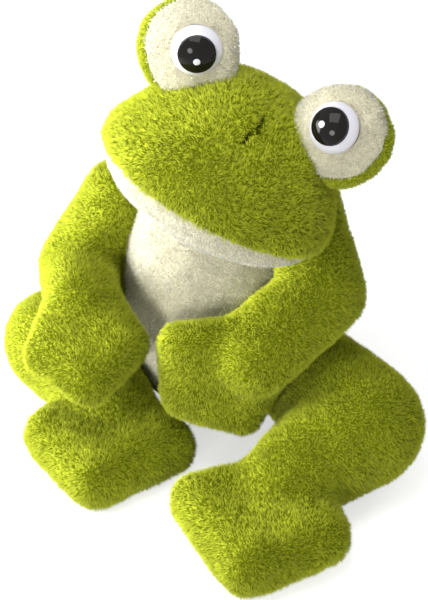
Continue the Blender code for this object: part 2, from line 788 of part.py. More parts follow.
def eye(side, head, head_pieces):
    """One eye: its stuffed mound, the white dome on its shank, the pupil and the washer."""
    pose = POSES[side]
    out = pose["side"]
    neck = JOINTS["neck"]
    middle = Vector((out * MOUND_SPREAD, -MOUND_FORWARD, MOUND_LIFT))
    foot = middle - Vector((out * MOUND_FOOT_INWARD, 0, MOUND_FOOT_DROP))
    balls = [
        (middle, (MOUND_RADIUS, MOUND_DEPTH / 2, MOUND_RADIUS)),
        round_ball(foot, MOUND_FOOT_RADIUS),
    ]
    mesh = form(f"mound_{side}", [balls], MOUND_FACES)
    mesh.transform(HEAD)
    front = object_of(f"eye_mound_front_{side}", mesh.copy(), CUTTERS)
    back = object_of(f"eye_mound_back_{side}", mesh, CUTTERS)
    turn = Matrix.Rotation(-out * math.radians(RIM_TURN), 3, "Z")
    turn @= Matrix.Rotation(-math.radians(RIM_TIP), 3, "X")
    forward = HEAD.to_3x3() @ turn @ Vector((0, -1, 0))
    split = HEAD @ (middle + Vector((0, -RIM_FORWARD, 0)))
    for made, way in ((front, forward), (back, -forward)):
        block = half_space("rim", split + way * GAP / 2, way)
        boolean(made, cutter(f"rim_{made.name}", block))
        clear(made, head)
    inward, lift = pose["eye_inward"], pose["eye_lift"]
    seat = middle + Vector((-out * inward, EYE_SINK - MOUND_DEPTH / 2, lift))
    look = Matrix.Rotation(-out * math.radians(EYE_TURN), 4, "Z")
    look @= Matrix.Rotation(math.radians(pose["eye_tip"]), 4, "X")
    place = HEAD @ Matrix.Translation(seat) @ look
    well = EYE_BASE + EYE_RISE - PUPIL_SEAT
    pocket = turned_seat(PUPIL_RADIUS)
    bore = turned_seat(SHANK_RADIUS)
    grip = -WASHER_LIFT
    under = grip - WASHER_THICKNESS
    white_profile = [
        (0, well - GAP),
        (pocket, well - GAP),
        *dome_profile(EYE_RADIUS, EYE_RISE, EYE_BASE, pocket),
        (SHANK_RADIUS, 0),
        (SHANK_RADIUS, -SHANK_LENGTH),
        (0, -SHANK_LENGTH),
    ]
    pupil_profile = [*dome_profile(PUPIL_RADIUS, PUPIL_RISE, PUPIL_BASE), (0, 0)]
    washer_profile = [
        (bore, grip),
        (WASHER_RADIUS, grip),
        (WASHER_RADIUS, under),
        (bore, under),
        (bore, grip),
    ]
    room_profile = [
        (0, MOUND_DEPTH),
        (turned_seat(EYE_RADIUS), MOUND_DEPTH),
        (turned_seat(EYE_RADIUS), -GAP),
        (bore, -GAP),
        (bore, grip + GAP),
        (turned_seat(WASHER_RADIUS), grip + GAP),
        (turned_seat(WASHER_RADIUS), under - GAP),
        (bore, under - GAP),
        (bore, -SHANK_LENGTH - GAP),
        (0, -SHANK_LENGTH - GAP),
    ]
    set_in = place @ Matrix.Translation((0, 0, well))
    white = object_of(f"eye_white_{side}", turned("white", white_profile, place), CUTTERS)
    pupil = object_of(f"pupil_{side}", turned("pupil", pupil_profile, set_in), CUTTERS)
    washer = object_of(f"lock_washer_{side}", turned("washer", washer_profile, place), CUTTERS)
    room = cutter(f"eye_room_{side}", turned("room", room_profile, place))
    for made in (front, *head_pieces):
        boolean(made, room)
    finish(front, f"eye_mound_front_{side}", CREAM_PLUSH, neck)
    finish(back, f"eye_mound_back_{side}", PLUSH, neck)
    finish(white, f"eye_white_{side}", WHITE_PLASTIC, neck)
    finish(pupil, f"pupil_{side}", BLACK_PLASTIC, neck)
    finish(washer, f"lock_washer_{side}", WASHER_PLASTIC, neck)


PLUSH = material("green_plush", GREEN, PLUSH_ROUGHNESS)
CREAM_PLUSH = material("cream_plush", CREAM, PLUSH_ROUGHNESS)
STUFFING = material("stuffing", FLUFF, PLUSH_ROUGHNESS)
WHITE_PLASTIC = material("white_plastic", WHITE, PLASTIC_ROUGHNESS)
BLACK_PLASTIC = material("black_plastic", BLACK, PLASTIC_ROUGHNESS)
WASHER_PLASTIC = material("washer_plastic", CLEAR_GREY, PLASTIC_ROUGHNESS)


def main():
    floor = cutter("floor", half_space("floor", Vector((0, 0, 0)), Vector((0, 0, 1))))
    body, head = body_form(), head_form()
    torso(body, floor)
    head_pieces = head_parts(head, body)
    legs = [stretch for side in POSES for stretch in leg(side, body, floor)]
    for side in POSES:
        eye(side, head, head_pieces)
        arm(side, body, head, legs)
    for joint in JOINTS.values():
        place = ", ".join(f"{v:.5f}" for v in joint["at"])
        axis = ", ".join(f"{v:.5f}" for v in joint["axis"])
        print(joint["name"], "at", place, "axis", axis, "range", joint["range"])


main()
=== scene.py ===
"""The looks of the seated plush frog: its stuffed skins, pile, seams and eyes.

Metres, +Z up. The frog faces -Y and sits at the origin, with its right side at -X.
"""

import json
import math

import bmesh
import bpy
import numpy as np
from mathutils import Matrix, Vector
from mathutils.bvhtree import BVHTree


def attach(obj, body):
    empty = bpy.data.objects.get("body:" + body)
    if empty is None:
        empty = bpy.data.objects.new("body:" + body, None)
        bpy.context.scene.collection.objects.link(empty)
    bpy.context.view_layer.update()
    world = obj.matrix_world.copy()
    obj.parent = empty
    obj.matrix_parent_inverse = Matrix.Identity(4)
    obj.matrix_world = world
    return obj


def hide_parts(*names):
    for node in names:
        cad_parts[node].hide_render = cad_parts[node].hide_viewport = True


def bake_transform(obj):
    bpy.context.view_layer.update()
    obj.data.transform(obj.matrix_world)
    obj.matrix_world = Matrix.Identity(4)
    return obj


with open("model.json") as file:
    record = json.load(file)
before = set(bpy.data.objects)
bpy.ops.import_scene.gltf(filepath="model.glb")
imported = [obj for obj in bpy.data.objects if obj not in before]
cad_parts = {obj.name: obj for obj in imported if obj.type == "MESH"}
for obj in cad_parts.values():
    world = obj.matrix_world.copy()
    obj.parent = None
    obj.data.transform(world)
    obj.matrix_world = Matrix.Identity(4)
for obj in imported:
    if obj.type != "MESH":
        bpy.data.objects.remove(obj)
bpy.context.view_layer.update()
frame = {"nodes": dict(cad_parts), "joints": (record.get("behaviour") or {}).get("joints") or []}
JOINTS = {joint["name"]: Vector(joint["pos_m"]) for joint in frame["joints"]}
MM = 0.001

# Camera of the photograph, and the lights
CAMERA_AZIMUTH = 14
CAMERA_ELEVATION = 38
CAMERA_DISTANCE = 1150 * MM
CAMERA_TARGET = Vector((13, -110, 175)) * MM
CAMERA_LENS = 92
SOFTBOXES = {
    "key": {"azimuth": -76, "elevation": 15, "distance": 800 * MM, "size": 450 * MM, "power": 10.0},
    "top": {"azimuth": 0, "elevation": 80, "distance": 560 * MM, "size": 300 * MM, "power": 1.3},
}
FRONT_AZIMUTH = -10
FRONT_ELEVATION = 12
FRONT_STRENGTH = 1.3
FRONT_ANGLE = 20
SKY_STRENGTH = 0.45
FLOOR_HALF_SIZE = 4
FLOOR_COLOUR = (0.80, 0.80, 0.80)
FLOOR_ROUGHNESS = 0.9
FLOOR_GLOW = 0.62

# Fineness of the skins and of the pile
VOXEL = 3 * MM
BLEND_STEPS = 20
BALL_SEGMENTS = 48
BALL_RINGS = 24
TURNED_STEPS = 96
DOME_STEPS = 14
DOT_STEPS = 6
MERGE_DISTANCE = 0.01 * MM
SHARP_ANGLE = 50
PILE_SHARE = 1.0

# Edge of the blocks that cut a skin in two: wider than the whole frog
BLOCK_SIZE = 1.0

# How deep the skins lie under the outline of the frame, which the pile's tips reach
GREEN_SINK = 3.6 * MM
CREAM_SINK = 2.6 * MM
FLOOR_PRESS = 2.5 * MM
FLOOR_LIFT = 1.6 * MM
CLOTH = 2 * MM
SEAM_GAP = 0.3 * MM

# Body
SEAT_SIZE = (176 * MM, 156 * MM, 96 * MM)
BELLY_SIZE = (174 * MM, 158 * MM, 120 * MM)
CHEST_SIZE = (144 * MM, 118 * MM, 96 * MM)
BELLY_LIFT = 98 * MM
CHEST_LIFT = 158 * MM
BODY_LEAN = 6
NECK_RADIUS = 48 * MM
NECK_LIFT = 198 * MM
NECK_FORWARD = 4 * MM
PANEL_HALF_WIDTH = 68 * MM
PANEL_BACK = 12 * MM
PANEL_HEIGHT_SHARES = (-0.10, 0.15, 0.40, 0.62, 0.80, 0.95, 1.30)
PANEL_WIDTH_SHARES = (0.50, 0.78, 0.97, 1.00, 0.93, 0.74, 0.62)

# Head, in its own frame: +X to the frog's left, -Y out of its face, +Z up
HEAD_CENTRE = Vector((12, -53, 267)) * MM
HEAD_ROLL = 23
HEAD_PITCH = 20
HEAD_YAW = 1
MUZZLE = ((0, 0, -20 * MM), (96 * MM, 85 * MM, 52 * MM))
SKULL = ((0, 8 * MM, 15 * MM), (74 * MM, 63 * MM, 50 * MM))
CHIN = ((0, -13 * MM, -31 * MM), (88 * MM, 60 * MM, 37 * MM))
JAW_DROP = 34 * MM
MOUTH_GROOVE = 2.5 * MM
MOUTH_WIDTH = 5 * MM

# Partings in the snout's pile: the ends of each, as x and z in the head's frame
PARTINGS = (
    ((10 * MM, 45 * MM), (12 * MM, 37 * MM)),
    ((8 * MM, 34 * MM), (6.5 * MM, 27 * MM)),
)
PARTING_WIDTH = 2.5 * MM
PARTING_DEPTH = 2.5 * MM
PARTING_EDGE_SHARE = 0.3
# Painted shade: how far the cloth in a parting is darkened, nearly to black, as if shaded in the
# narrow gap of the pile
PARTING_PAINTED_SHADE = -1.4

# Eyes
MOUND_MIDDLE = (63.5 * MM, -8 * MM, 56 * MM)
MOUND_RADII = (40.5 * MM, 26 * MM, 40.5 * MM)
MOUND_FOOT_INWARD = 26 * MM
MOUND_FOOT_DROP = 6 * MM
MOUND_FOOT_RADIUS = 18 * MM
RIM_FORWARD = 6 * MM
RIM_TURN = 14
RIM_TIP = 12
EYE_RADIUS = 18.5 * MM
EYE_RISE = 11 * MM
EYE_BASE = 3 * MM
EYE_SINK = 5 * MM
EYE_TURN = 19
EYE_EDGE = 0.5 * MM
PUPIL_RADIUS = 13.6 * MM
PUPIL_RISE = 5 * MM
PUPIL_BASE = 3 * MM
PUPIL_SEAT = 6 * MM
SHANK_RADIUS = 3 * MM
SHANK_LENGTH = 11 * MM
DOT_RADIUS = 2.5 * MM
DOT_RISE = 0.35 * MM
EYES = {
    "right": {"side": -1, "inward": 8 * MM, "lift": 8 * MM, "tip": 94, "dot": (1.3 * MM, -3.4 * MM)},
    "left": {"side": 1, "inward": 6 * MM, "lift": 8 * MM, "tip": 82, "dot": (-4.1 * MM, -1.4 * MM)},
}

# Limbs
SHOULDER_RADIUS = 36 * MM
ELBOW_RADIUS = 35 * MM
WRIST_RADIUS = 32 * MM
FOREARM_LENGTH = 62 * MM
HAND_REACH = 74 * MM
HAND_SPREAD = 37 * MM
HAND_THICKNESS = 42 * MM
FINGER_RADIUS = 21 * MM
SIDE_FINGER_SHARE = 0.6
HIP_RADIUS = 46 * MM
KNEE_RADIUS = 53 * MM
ANKLE_RADIUS = 37 * MM
SHIN_LENGTH = 80 * MM
FOOT_REACH = 87 * MM
FOOT_SPREAD = 57 * MM
FOOT_THICKNESS = 54 * MM
TOE_RADIUS = 22 * MM
SIDE_TOE_SHARE = 0.42
SEAT_ROOM = 1.5 * MM
LIMBS = {
    "right": {
        "side": -1,
        "forearm": (0.35, -0.92, 0.17),
        "forearm_share": 1.07,
        "wrist_share": 1.0,
        "hand": (0.34, -0.87, -0.36),
        "hand_share": 0.98,
        "palm_across": (0.77, 0.63, 0.14),
        "finger_share": 0.82,
        "knee_share": 0.89,
        "shin": -50,
        "shin_share": 1.08,
        "foot": -6,
        "foot_share": 0.94,
        "toe_shares": (0.95, 0.84),
    },
    "left": {
        "side": 1,
        "forearm": (-0.63, -0.60, -0.49),
        "forearm_share": 1.18,
        "wrist_share": 1.14,
        "hand": (-0.77, -0.28, -0.58),
        "hand_share": 0.91,
        "palm_across": (-0.56, -0.08, 0.82),
        "finger_share": 1.1,
        "knee_share": 1.0,
        "shin": -38,
        "shin_share": 0.99,
        "foot": -7,
        "foot_share": 1.0,
        "toe_shares": (1.06, 0.80),
    },
}

# Pile: strands to a square millimetre, their length and width, how far they lean with the lie
# of the pile and stray from it, and the size of a tuft
LONG_PILE = {
    "density": 1.4,
    "length": 4.6 * MM,
    "width": 0.80 * MM,
    "lean": 0.62,
    "stray": 0.36,
    "tuft": 2.2 * MM,
}
LIMB_PILE = {
    "density": 1.4,
    "length": 4.0 * MM,
    "width": 0.75 * MM,
    "lean": 0.50,
    "stray": 0.40,
    "tuft": 1.9 * MM,
}
SHORT_PILE = {
    "density": 1.8,
    "length": 2.4 * MM,
    "width": 0.70 * MM,
    "lean": 0.60,
    "stray": 0.40,
    "tuft": 1.6 * MM,
}
ROOT_SINK = 0.8 * MM
TIP_LIFT = 0.2 * MM
MOST_STRANDS = 48000
TUCKED = 3 * MM
LEAST_LENGTH = 1e-9
SEED = 5

# Tufts: how far their strands are drawn to the middle, how their edges waver, how far the
# middle keeps from the edges, and how far a tuft is tossed out of the lie of the pile
GATHER_SHARE = 0.6
EDGE_WAVER_SHARE = 0.35
EDGE_WAVE = 0.9
MIDDLE_MARGIN_SHARE = 0.2
TOSS = 1.3

# Strands: their least length, what the tuft and chance add to it, how far their flat side is
# twisted, how many times wider than thick they are, and how much of their tone is the tuft's
LEAST_LENGTH_SHARE = 0.66
TUFT_LENGTH_SHARE = 0.5
CHANCE_LENGTH_SHARE = 0.2
TWIST = 0.3
FLATNESS = 3
TUFT_TONE_SHARE = 0.6

# The lumps of the fibre under a skin and the lie of the pile: sines over space, each with its
# wave numbers along x, y and z and its phase
LUMP_DEPTH = 1.1 * MM
LUMP_SCALE = 9 * MM
WIDE_LUMPS = (((1.0, 1.3, 0.0), 0.4), ((0.0, 1.2, -1.0), 1.7), ((-0.8, 0.0, 1.1), 2.6))
FINE_LUMPS = (((2.3, 0.0, -1.9), 0.0), ((0.0, 2.1, 2.4), 0.9))
FINE_LUMP_PARTS = 5
FLOW_SCALE = 34 * MM
WIDE_FLOW = (((0.0, 1.7, 0.9), 1.0), ((1.1, 0.0, 1.9), 2.0), ((1.6, -1.3, 0.0), 0.5))
FINE_FLOW = (((-2.3, 0.0, 3.1), 0.0), ((2.9, 2.1, 0.0), 0.0), ((0.0, 2.7, -1.9), 0.0))
FINE_FLOW_SHARE = 0.6
FALL = 0.9

# The steady random number of a cell: its waves along x, y and z, and how they are scattered
HASH_WAVES = (12.9898, 78.233, 37.719)
HASH_SALT = 4.1414
HASH_SPREAD = 43758.5453

# Colours: the pile at its root, darkened as painted shade deep in the pile, and at its tip, then the
# other materials
GREEN_ROOT_SHADE = (0.240, 0.290, 0.003)
GREEN_TIP = (0.810, 0.880, 0.060)
CREAM_ROOT_SHADE = (0.900, 0.850, 0.630)
CREAM_TIP = (0.970, 0.955, 0.830)
PALE = (0.900, 0.950, 0.450)
WHITE_COLOUR = (0.72, 0.71, 0.77)
BLACK_COLOUR = (0.008, 0.007, 0.006)
FIBRE_COLOUR = (0.86, 0.86, 0.84)
NYLON_COLOUR = (0.70, 0.70, 0.68)

# Pile fabric: the noise scales of its patches and its grain, and the ranges of its looks
PATCH_SCALE = 60
PATCH_SHADES = (0.80, 1.16)
TONE_SHADES = (0.70, 1.22)
GRAIN_SCALE = 900
GRAIN_DEPTH = 0.3 * MM
GRAIN_STRENGTH = 0.4
PILE_ROUGHNESS = (0.82, 1.0)
PILE_SPECULAR = 0.05
SHEEN_ROUGHNESS = 0.45
GREEN_SHEEN = 0.15
CREAM_SHEEN = 0.10

# Plastic: the darker of its two shades, and how glossy the pupils are
SWIRL_DARK_SHARE = 0.94
BLACK_SPECULAR = 0.16

# Fibre: its darker shade, the noise scales of its clumps and threads, and its looks
FIBRE_DARK_SHARE = 0.8
CLUMP_SCALE = 180
THREAD_SCALE = 1500
THREAD_DETAIL = 6.0
THREAD_DEPTH = 0.6 * MM
FIBRE_ROUGHNESS = (0.85, 1.0)

# Fibre fills: how fine their skins are, how deep they lie in the frame's solids, and their lumps
FILL_VOXEL = 4 * MM
FILL_BLEND_STEPS = 6
FILL_SINK = 4 * MM
FILL_LUMP_DEPTH = 0.4 * MM
FILL_WIDE_SCALE = 7 * MM
FILL_FINE_SCALE = 4 * MM


def linked(name, data):
    """A new object of some data, in the scene."""
    made = bpy.data.objects.new(name, data)
    bpy.context.scene.collection.objects.link(made)
    return made


def to_mesh(bm, name):
    """The mesh of a bmesh, which is freed."""
    mesh = bpy.data.meshes.new(name)
    bm.to_mesh(mesh)
    bm.free()
    return mesh


def evaluated(made):
    """The mesh that an object has with its modifiers, and the object is removed."""
    graph = bpy.context.evaluated_depsgraph_get()
    mesh = bpy.data.meshes.new_from_object(made.evaluated_get(graph))
    mesh.transform(made.matrix_world)
    bpy.data.objects.remove(made, do_unlink=True)
    return mesh


def points_of(mesh):
    found = np.empty(len(mesh.vertices) * 3)
    mesh.vertices.foreach_get("co", found)
    return found.reshape(-1, 3)


def normals_of(mesh):
    found = np.empty(len(mesh.vertices) * 3)
    mesh.vertex_normals.foreach_get("vector", found)
    return found.reshape(-1, 3)


def place_points(mesh, points):
    mesh.vertices.foreach_set("co", points.astype(np.float32).ravel())
    mesh.update()


def ball_points(centre, radii, turn=None):
    """Points all over a ball with three radii, turned if a turn is given."""
    ball = bmesh.new()
    place = Matrix.Translation(centre) @ (turn.to_4x4() if turn else Matrix())
    bmesh.ops.create_uvsphere(
        ball, u_segments=BALL_SEGMENTS, v_segments=BALL_RINGS, radius=1,
        matrix=place @ Matrix.Diagonal((*radii, 1)),
    )
    points = [v.co.copy() for v in ball.verts]
    ball.free()
    return points


def hull_of(points):
    """The tight skin over some points, as a mesh."""
    hull = bmesh.new()
    for point in points:
        hull.verts.new(point)
    made = bmesh.ops.convex_hull(hull, input=list(hull.verts))
    spare = set(made["geom_interior"] + made["geom_unused"])
    spare = [v for v in spare if isinstance(v, bmesh.types.BMVert)]
    bmesh.ops.delete(hull, geom=spare, context="VERTS")
    bmesh.ops.recalc_face_normals(hull, faces=hull.faces)
    return to_mesh(hull, "hull")


def one_skin(mesh, voxel, steps):
    """A mesh made over as a single skin with even faces, and smoothed."""
    made = linked("one_skin", mesh)
    remesh = made.modifiers.new("one_skin", "REMESH")
    remesh.mode = "VOXEL"
    remesh.voxel_size = voxel
    smooth = made.modifiers.new("blend", "SMOOTH")
    smooth.iterations = steps
    return evaluated(made)


def form(name, hulls):
    """One stuffed form: hulls over balls, blended into a single skin."""
    bm = bmesh.new()
    for balls in hulls:
        mesh = hull_of([p for ball in balls for p in ball_points(*ball)])
        bm.from_mesh(mesh)
        bpy.data.meshes.remove(mesh)
    mesh = one_skin(to_mesh(bm, name), VOXEL, BLEND_STEPS)
    mesh.name = name
    return mesh


def wave(points, numbers, phase):
    """A sine over space, from its wave numbers along x, y and z and its phase."""
    x, y, z = points.T
    return np.sin(numbers[0] * x + numbers[1] * y + numbers[2] * z + phase)


def lumps(points):
    """The soft lumps of the fibre under a skin, from about -1 to 1."""
    p = points / LUMP_SCALE
    wide = sum(wave(p, *row) for row in WIDE_LUMPS)
    fine = sum(wave(p, *row) for row in FINE_LUMPS)
    return wide / len(WIDE_LUMPS) + fine / FINE_LUMP_PARTS


def sunk(mesh, depth, uneven=0.0):
    """Moves every corner in along its normal, and in or out with the lumps of the fibre."""
    points = points_of(mesh)
    place_points(mesh, points - normals_of(mesh) * (depth - uneven * lumps(points))[:, None])
    return mesh


def seated(mesh):
    """Presses a form on the floor, with room for the pile under it."""
    points = points_of(mesh)
    points[:, 2] -= points[:, 2].min() + FLOOR_PRESS
    points[:, 2] = np.maximum(points[:, 2], FLOOR_LIFT)
    place_points(mesh, points)
    return mesh


def combined(mesh, *others):
    """A mesh cut by others or met with them, each given as (mesh, operation)."""
    made = linked("combined", mesh.copy())
    tools = []
    for other, operation in others:
        tool = linked("tool", other)
        tool.hide_render = True
        modifier = made.modifiers.new(operation, "BOOLEAN")
        modifier.object = tool
        modifier.operation = operation
        tools.append(tool)
    result = evaluated(made)
    for tool in tools:
        bpy.data.objects.remove(tool, do_unlink=True)
    return result


def round_ball(place, radius):
    return (place, (radius, radius, radius))


def ball_mesh(place, radius):
    return hull_of(ball_points(*round_ball(place, radius)))


def half_space(point, normal):
    """A block that fills the side of a plane that the normal leaves."""
    bm = bmesh.new()
    bmesh.ops.create_cube(bm, size=BLOCK_SIZE, matrix=Matrix.Translation((0, 0, -BLOCK_SIZE / 2)))
    mesh = to_mesh(bm, "half")
    turn = Vector((0, 0, 1)).rotation_difference(normal).to_matrix().to_4x4()
    mesh.transform(Matrix.Translation(point) @ turn)
    return mesh


BODY = Matrix.Rotation(-math.radians(BODY_LEAN), 3, "Y")


def body_middle(lift):
    """The middle of the leaning body at a height of its own."""
    return BODY @ Vector((0, -NECK_FORWARD * lift / NECK_LIFT, lift))


def half(size):
    return tuple(side / 2 for side in size)


def head_matrix():
    turn = Matrix.Rotation(math.radians(HEAD_YAW), 4, "Z")
    pitch = Matrix.Rotation(-math.radians(HEAD_PITCH), 4, "X")
    roll = Matrix.Rotation(math.radians(HEAD_ROLL), 4, "Y")
    return Matrix.Translation(HEAD_CENTRE) @ turn @ pitch @ roll


HEAD = head_matrix()
INTO_HEAD = np.array(HEAD.inverted())


def in_head_frame(points):
    return points @ INTO_HEAD[:3, :3].T + INTO_HEAD[:3, 3]


def tree(material):
    """The shader of a material, and the nodes and links of its tree."""
    material.use_nodes = True
    nodes, links = material.node_tree.nodes, material.node_tree.links
    return nodes["Principled BSDF"], nodes, links


def noise(nodes, links, place, scale, detail=3.0):
    made = nodes.new("ShaderNodeTexNoise")
    made.inputs["Scale"].default_value = scale
    made.inputs["Detail"].default_value = detail
    links.new(place.outputs["Object"], made.inputs["Vector"])
    return made.outputs["Fac"]


def attribute(nodes, name):
    """The value that the corners of a mesh carry under a name."""
    made = nodes.new("ShaderNodeAttribute")
    made.attribute_name = name
    return made.outputs["Fac"]


def ranged(nodes, links, value, low, high):
    """A value that runs from low to high, and beyond them, where another runs from 0 to 1."""
    made = nodes.new("ShaderNodeMapRange")
    made.clamp = False
    made.inputs["To Min"].default_value = low
    made.inputs["To Max"].default_value = high
    links.new(value, made.inputs["Value"])
    return made.outputs["Result"]


def mixed(nodes, links, factor, first, last):
    """A colour that runs from the first to the last with a factor."""
    made = nodes.new("ShaderNodeMix")
    made.data_type = "RGBA"
    made.inputs["A"].default_value = (*first, 1)
    made.inputs["B"].default_value = (*last, 1)
    links.new(factor, made.inputs["Factor"])
    return made.outputs["Result"]


def worked_out(nodes, links, operation, first, second):
    """What an operation makes of two values."""
    made = nodes.new("ShaderNodeMath")
    made.operation = operation
    links.new(first, made.inputs[0])
    links.new(second, made.inputs[1])
    return made.outputs["Value"]


def bumped(nodes, links, shader, height, depth, strength=1.0):
    """Gives a shader the bumps of a height."""
    made = nodes.new("ShaderNodeBump")
    made.inputs["Distance"].default_value = depth
    made.inputs["Strength"].default_value = strength
    links.new(height, made.inputs["Height"])
    links.new(made.outputs["Normal"], shader.inputs["Normal"])


def darkened(colour, share):
    return [part * share for part in colour]


def plush(name, root_shade, tip, sheen):
    """Pile fabric: dark at the root, as painted shade deep in the pile, and pale at the tip, uneven
    from tuft to tuft.
    """
    made = bpy.data.materials.new(name)
    shader, nodes, links = tree(made)
    place = nodes.new("ShaderNodeTexCoord")
    patches = ranged(nodes, links, noise(nodes, links, place, PATCH_SCALE), *PATCH_SHADES)
    # Tone: a strand's random tone, and the painted shade of the cloth in the snout's partings
    tone_and_shade = ranged(nodes, links, attribute(nodes, "tone_and_shade"), *TONE_SHADES)
    # Painted shade: a strand's foot, and the cloth under the pile, which carries no pile value, take
    # the darker root colour
    colour = mixed(nodes, links, attribute(nodes, "pile"), root_shade, tip)
    shade = nodes.new("ShaderNodeVectorMath")
    shade.operation = "SCALE"
    links.new(colour, shade.inputs[0])
    links.new(worked_out(nodes, links, "MULTIPLY", patches, tone_and_shade), shade.inputs["Scale"])
    links.new(shade.outputs["Vector"], shader.inputs["Base Color"])
    grain = noise(nodes, links, place, GRAIN_SCALE)
    links.new(ranged(nodes, links, grain, *PILE_ROUGHNESS), shader.inputs["Roughness"])
    bumped(nodes, links, shader, grain, GRAIN_DEPTH, GRAIN_STRENGTH)
    shader.inputs["Specular IOR Level"].default_value = PILE_SPECULAR
    shader.inputs["Sheen Weight"].default_value = sheen
    shader.inputs["Sheen Roughness"].default_value = SHEEN_ROUGHNESS
    shader.inputs["Sheen Tint"].default_value = (*PALE, 1)
    return made


def plastic(name, colour, roughness, scale, specular=0.5):
    """Moulded plastic with a faintly uneven gloss, from a range and a noise scale."""
    made = bpy.data.materials.new(name)
    shader, nodes, links = tree(made)
    shader.inputs["Specular IOR Level"].default_value = specular
    swirl = noise(nodes, links, nodes.new("ShaderNodeTexCoord"), scale)
    shade = mixed(nodes, links, swirl, darkened(colour, SWIRL_DARK_SHARE), colour)
    links.new(shade, shader.inputs["Base Color"])
    links.new(ranged(nodes, links, swirl, *roughness), shader.inputs["Roughness"])
    return made


def fibre(name, colour):
    """Loose white stuffing, with the clumps and threads of teased fibre."""
    made = bpy.data.materials.new(name)
    shader, nodes, links = tree(made)
    place = nodes.new("ShaderNodeTexCoord")
    clumps = noise(nodes, links, place, CLUMP_SCALE)
    threads = noise(nodes, links, place, THREAD_SCALE, THREAD_DETAIL)
    shade = mixed(nodes, links, clumps, darkened(colour, FIBRE_DARK_SHARE), colour)
    links.new(shade, shader.inputs["Base Color"])
    bumped(nodes, links, shader, threads, THREAD_DEPTH)
    links.new(ranged(nodes, links, threads, *FIBRE_ROUGHNESS), shader.inputs["Roughness"])
    return made


GREEN = plush("green_plush_pile", GREEN_ROOT_SHADE, GREEN_TIP, GREEN_SHEEN)
CREAM = plush("cream_plush_pile", CREAM_ROOT_SHADE, CREAM_TIP, CREAM_SHEEN)
WHITE = plastic("white_eye_plastic", WHITE_COLOUR, roughness=(0.10, 0.18), scale=40)
BLACK = plastic(
    "black_eye_plastic", BLACK_COLOUR, roughness=(0.05, 0.10), scale=60, specular=BLACK_SPECULAR,
)
DOT = plastic("white_print", WHITE_COLOUR, roughness=(0.2, 0.3), scale=90)
NYLON = plastic("washer_nylon", NYLON_COLOUR, roughness=(0.4, 0.6), scale=120)
FIBRE = fibre("white_fibre", FIBRE_COLOUR)


def dressed(mesh, name, material):
    """A piece of its own from a mesh, with its material."""
    mesh.name = name
    mesh.materials.clear()
    mesh.materials.append(material)
    mesh.shade_smooth()
    mesh.set_sharp_from_angle(angle=math.radians(SHARP_ANGLE))
    made = linked(name, mesh)
    return made


def hashed(cells, salt):
    """A steady random number from 0 to 1 for each whole-numbered cell."""
    salted = cells @ np.array(HASH_WAVES) + salt * HASH_SALT
    return np.modf(np.abs(np.sin(salted) * HASH_SPREAD))[0]


def flow(points):
    """A lie of the pile that wanders smoothly over the skin, mostly downwards."""
    p = points / FLOW_SCALE
    wide = np.stack([wave(p, *row) for row in WIDE_FLOW], axis=1)
    fine = np.stack([wave(p, *row) for row in FINE_FLOW], axis=1)
    return wide + FINE_FLOW_SHARE * fine - np.array([0, 0, FALL])


def unit(vectors):
    """The vectors at a length of 1, save those of no length."""
    return vectors / np.maximum(np.linalg.norm(vectors, axis=1, keepdims=True), LEAST_LENGTH)


def scattered(mesh, density, shown, rng):
    """Points spread over the shown part of a skin, with the skin's normals there."""
    mesh.calc_loop_triangles()
    corners = np.empty(len(mesh.loop_triangles) * 3, int)
    mesh.loop_triangles.foreach_get("vertices", corners)
    corners = corners.reshape(-1, 3)
    points, normals = points_of(mesh), normals_of(mesh)
    corners = corners[shown[corners].any(1)]
    a, b, c = (points[corners[:, k]] for k in range(3))
    area = np.linalg.norm(np.cross(b - a, c - a), axis=1) / 2
    count = int(area.sum() / MM**2 * density * PILE_SHARE)
    pick = rng.choice(len(area), count, p=area / area.sum())
    u, v = rng.random(count), rng.random(count)
    flip = u + v > 1
    u[flip], v[flip] = 1 - u[flip], 1 - v[flip]
    share = np.stack([1 - u - v, u, v], axis=1)[:, :, None]
    found = (points[corners[pick]] * share).sum(1)
    facing = (normals[corners[pick]] * share).sum(1)
    return found, unit(facing)


def hidden(points, blockers):
    """Which points lie tucked well inside any of the blockers' skins."""
    found = np.zeros(len(points), bool)
    for low, high, search in blockers:
        near = np.flatnonzero(((points > low) & (points < high)).all(1) & ~found)
        for i in near:
            at, normal, _, distance = search.find_nearest(points[i])
            if distance > TUCKED and (Vector(points[i]) - at).dot(normal) < 0:
                found[i] = True
    return found


def blocker(mesh):
    """A skin that can hide others: the corners of its box, and its faces for a search."""
    points = points_of(mesh)
    mesh.calc_loop_triangles()
    corners = [tuple(t.vertices) for t in mesh.loop_triangles]
    return points.min(0), points.max(0), BVHTree.FromPolygons(points.tolist(), corners)


def carried(mesh, name, values):
    """Makes the corners of a mesh carry values, under a name that its material reads."""
    layer = mesh.attributes.new(name, "FLOAT", "POINT")
    layer.data.foreach_set("value", values.astype(np.float32))


def slivers(name, points):
    """A mesh of slim pyramids, each over four points in a row: three at its foot and its tip."""
    faces = np.array([[0, 1, 3], [1, 2, 3], [2, 0, 3], [2, 1, 0]])
    count = len(points) // 4
    index = (faces[None] + 4 * np.arange(count)[:, None, None]).reshape(-1)
    mesh = bpy.data.meshes.new(name)
    mesh.vertices.add(len(points))
    mesh.loops.add(len(index))
    mesh.polygons.add(len(index) // 3)
    mesh.vertices.foreach_set("co", points.astype(np.float32).ravel())
    mesh.loops.foreach_set("vertex_index", index.astype(np.int32))
    mesh.polygons.foreach_set("loop_start", np.arange(0, len(index), 3, dtype=np.int32))
    mesh.update(calc_edges=True)
    # Pile value 0 at a strand's foot and 1 at its tip, which the material paints from shade to full
    # colour
    carried(mesh, "pile", np.tile([0.0, 0.0, 0.0, 1.0], count))
    return mesh


